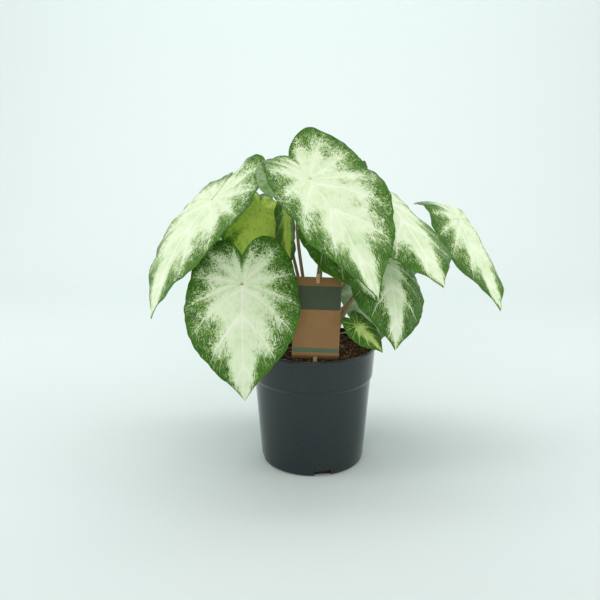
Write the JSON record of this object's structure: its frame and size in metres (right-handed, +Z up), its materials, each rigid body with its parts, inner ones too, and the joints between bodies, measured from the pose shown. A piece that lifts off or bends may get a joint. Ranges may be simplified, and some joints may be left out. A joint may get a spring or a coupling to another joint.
{
  "type": "potted caladium",
  "caption": "House plant with drooping heart-shaped cream leaves edged in green on slender stalks, in a dark round nursery pot with soil and a plain plant card.",
  "frame": {"origin": "centre of the pot's underside, on the surface that it stands on", "axes": "+Z up along the pot's axis; -Y towards the front of the plant, where the plant card faces"},
  "size_m": [0.3979, 0.2977, 0.3708],
  "materials": {
    "dark_plastic": "satin",
    "potting_mix": "damp, fibrous, matt",
    "tuber_skin": "rough, matt",
    "kraft_paper": "matt, with green printed bands",
    "pale_wood": "bare",
    "petiole_skin": "smooth, semi-gloss",
    "cream_and_green_blade": "satin, cream centre, green margin"
  },
  "bodies": {
    "root": {"pot": "dark_plastic", "soil": "potting_mix", "tuber": "tuber_skin", "card": "kraft_paper", "stick": "pale_wood", "centre_petiole": "petiole_skin", "centre_blade": "cream_and_green_blade", "left_petiole": "petiole_skin", "left_blade": "cream_and_green_blade", "lower_left_petiole": "petiole_skin", "lower_left_blade": "cream_and_green_blade", "right_petiole": "petiole_skin", "right_blade": "cream_and_green_blade", "lower_right_petiole": "petiole_skin", "lower_right_blade": "cream_and_green_blade", "far_right_petiole": "petiole_skin", "far_right_blade": "cream_and_green_blade", "young_petiole": "petiole_skin", "young_blade": "cream_and_green_blade", "under_centre_petiole": "petiole_skin", "under_centre_blade": "cream_and_green_blade", "inner_left_petiole": "petiole_skin", "inner_left_blade": "cream_and_green_blade", "inner_centre_petiole": "petiole_skin", "inner_centre_blade": "cream_and_green_blade", "back_petiole": "petiole_skin", "back_blade": "cream_and_green_blade", "back_right_petiole": "petiole_skin", "back_right_blade": "cream_and_green_blade", "back_left_petiole": "petiole_skin", "back_left_blade": "cream_and_green_blade", "low_back_left_petiole": "petiole_skin", "low_back_left_blade": "cream_and_green_blade", "low_back_right_petiole": "petiole_skin", "low_back_right_blade": "cream_and_green_blade"}
  },
  "joints": []
}
